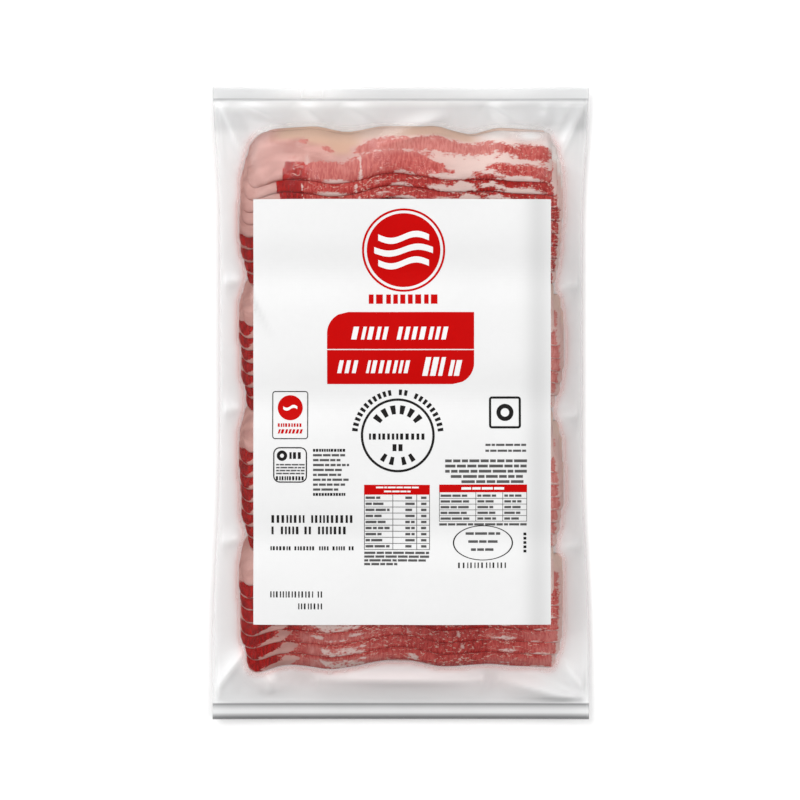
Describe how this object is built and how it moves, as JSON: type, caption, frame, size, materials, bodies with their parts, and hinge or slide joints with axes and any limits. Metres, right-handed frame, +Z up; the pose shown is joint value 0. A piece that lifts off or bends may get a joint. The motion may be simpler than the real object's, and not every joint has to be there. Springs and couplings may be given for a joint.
{
  "type": "sliced bacon pack",
  "caption": "Flat clear film pouch, sealed at both ends, holding shingled stacks of sliced bacon, with a paper label on its face; lies on its back.",
  "frame": {"origin": "on the floor, under the middle of the pack", "axes": "+X across the pack to its right, +Y along it to the top seal, +Z up out of its face"},
  "size_m": [0.2842, 0.477, 0.0268],
  "materials": {
    "film_and_bacon": "clear glossy film over pink and red sliced bacon",
    "label_paper": "smooth coated white label, printed red and black"
  },
  "bodies": {
    "root": {"pouch": "film_and_bacon", "label": "label_paper"}
  },
  "joints": []
}
